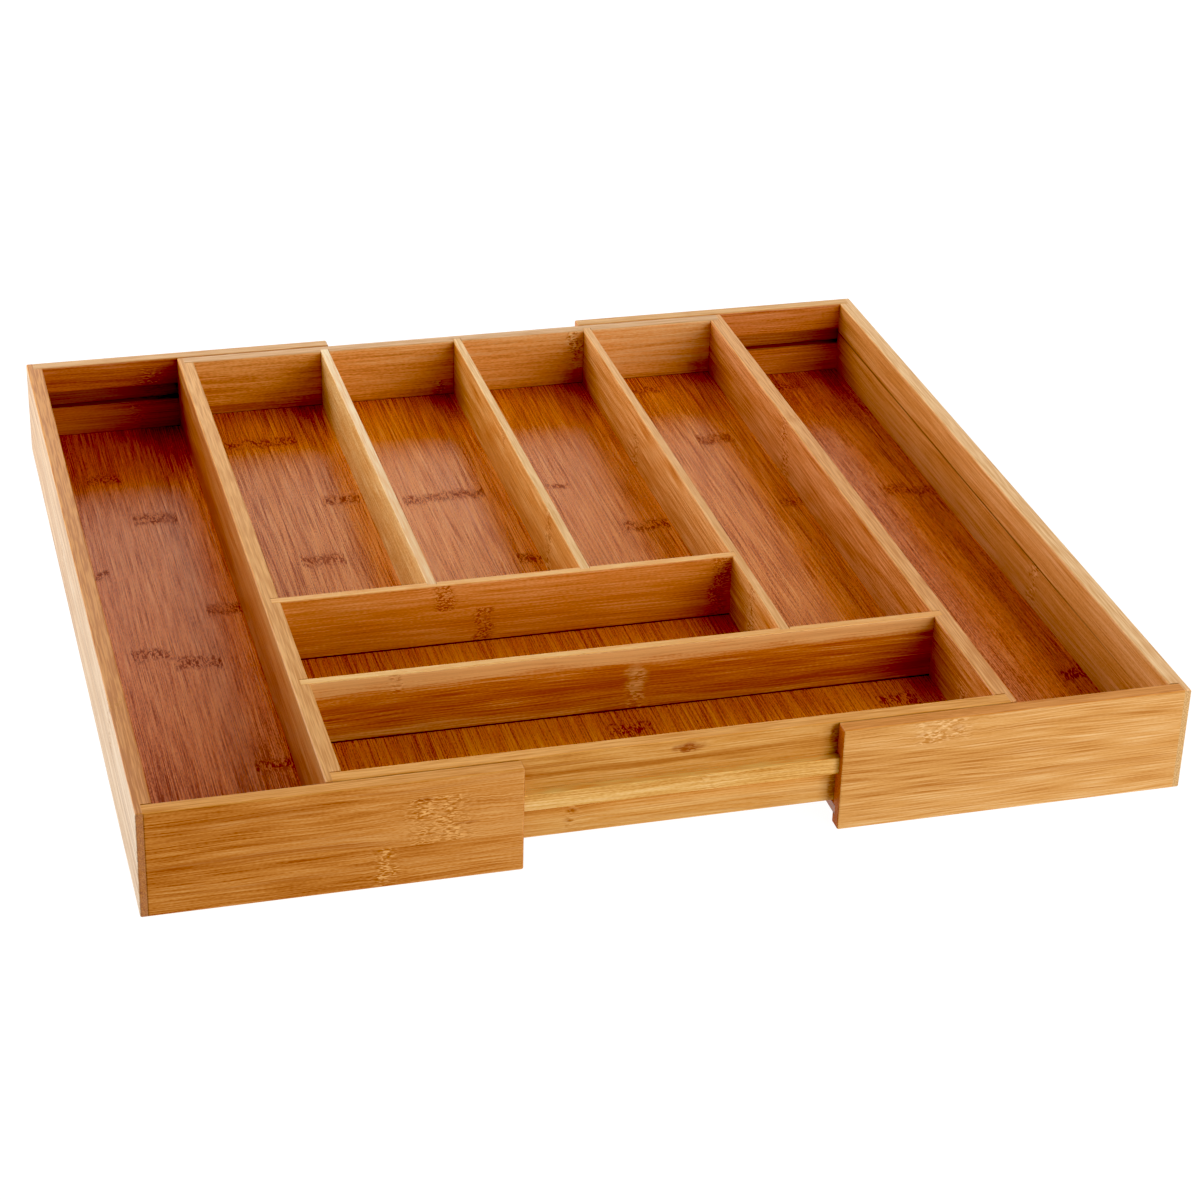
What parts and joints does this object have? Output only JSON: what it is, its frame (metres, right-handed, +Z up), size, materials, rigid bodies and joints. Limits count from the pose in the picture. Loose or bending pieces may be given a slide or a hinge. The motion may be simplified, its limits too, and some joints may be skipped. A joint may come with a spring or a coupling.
{
  "type": "cutlery tray",
  "caption": "Expandable wooden cutlery tray: a divided middle tray between side extensions that slide out on guide strips and grooves to widen it.",
  "frame": {"origin": "middle of the tray, on the surface it stands on, with both extensions pulled out as in the picture", "axes": "+X to the right along the direction the extensions slide, +Y to the back, +Z up"},
  "size_m": [0.4584, 0.45, 0.0495],
  "materials": {
    "bamboo_rail": "lacquered bamboo, satin",
    "bamboo_wall": "lacquered bamboo, satin",
    "bamboo_panel": "lacquered bamboo, semi-gloss",
    "bamboo_divider": "lacquered bamboo, satin",
    "bamboo_strip": "lacquered bamboo, satin"
  },
  "bodies": {
    "centre_tray": {"centre_front_rail": "bamboo_rail", "centre_rear_rail": "bamboo_rail", "centre_left_wall": "bamboo_wall", "centre_right_wall": "bamboo_wall", "centre_base_panel": "bamboo_panel", "long_divider_left": "bamboo_divider", "long_divider_middle": "bamboo_divider", "long_divider_right": "bamboo_divider", "cross_divider_rear": "bamboo_divider", "cross_divider_front": "bamboo_divider", "front_guide_strip": "bamboo_strip", "rear_guide_strip": "bamboo_strip"},
    "left_extension": {"left_side_wall": "bamboo_wall", "left_front_rail": "bamboo_rail", "left_rear_rail": "bamboo_rail", "left_base_panel": "bamboo_panel"},
    "right_extension": {"right_side_wall": "bamboo_wall", "right_front_rail": "bamboo_rail", "right_rear_rail": "bamboo_rail", "right_base_panel": "bamboo_panel"}
  },
  "joints": [
    {"name": "left_slide", "type": "slide", "parent": "centre_tray", "child": "left_extension", "axis": [-1, 0, 0], "range_m": [-0.0689, 0.015]},
    {"name": "right_slide", "type": "slide", "parent": "centre_tray", "child": "right_extension", "axis": [1, 0, 0], "range_m": [-0.0689, 0.015]}
  ]
}
